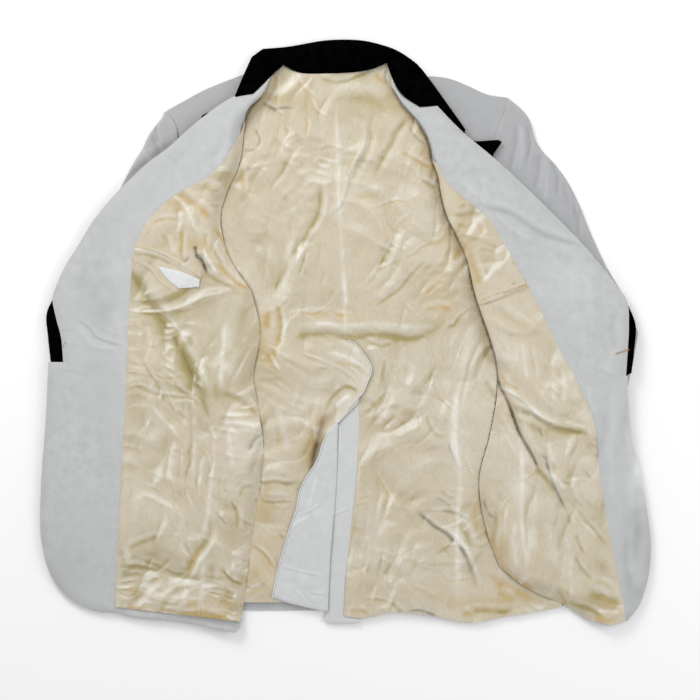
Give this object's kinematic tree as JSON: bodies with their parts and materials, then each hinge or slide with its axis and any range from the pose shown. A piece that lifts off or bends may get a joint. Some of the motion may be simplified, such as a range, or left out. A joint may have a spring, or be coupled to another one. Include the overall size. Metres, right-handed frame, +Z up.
{
  "type": "tuxedo jacket",
  "caption": "Light grey dinner jacket laid open on its back, fronts turned out to show the cream lining, with black velvet collar and notch lapels.",
  "frame": {"origin": "the floor under the middle of the jacket's outline as it lies", "axes": "+Z up from the floor to the inside of the jacket that faces up, +Y towards the collar, +X across the jacket"},
  "size_m": [0.8365, 0.812, 0.0206],
  "materials": {
    "shell": "fine woven light grey suiting, matt",
    "lining": "cream satin lining, soft sheen",
    "velvet": "black cotton velvet, short nap",
    "label": "plain white woven tape"
  },
  "bodies": {
    "root": {"back_left": "shell", "back_right": "shell", "side_right": "shell", "back_lining_left": "lining", "back_lining_right": "lining", "side_lining_right": "lining", "vent_facing_right": "shell", "sleeve_left": "shell", "sleeve_right": "shell", "front_left": "shell", "front_right": "shell", "facing_left": "shell", "facing_right": "shell", "front_lining_left": "lining", "front_lining_right": "lining", "side_lining_left": "lining", "lapel_left": "velvet", "lapel_right": "velvet", "collar": "velvet", "inner_pocket_lip_upper_left": "lining", "inner_pocket_lip_lower_left": "lining", "inner_pocket_lip_upper_right": "lining", "inner_pocket_lip_lower_right": "lining", "care_label": "label"}
  },
  "joints": []
}
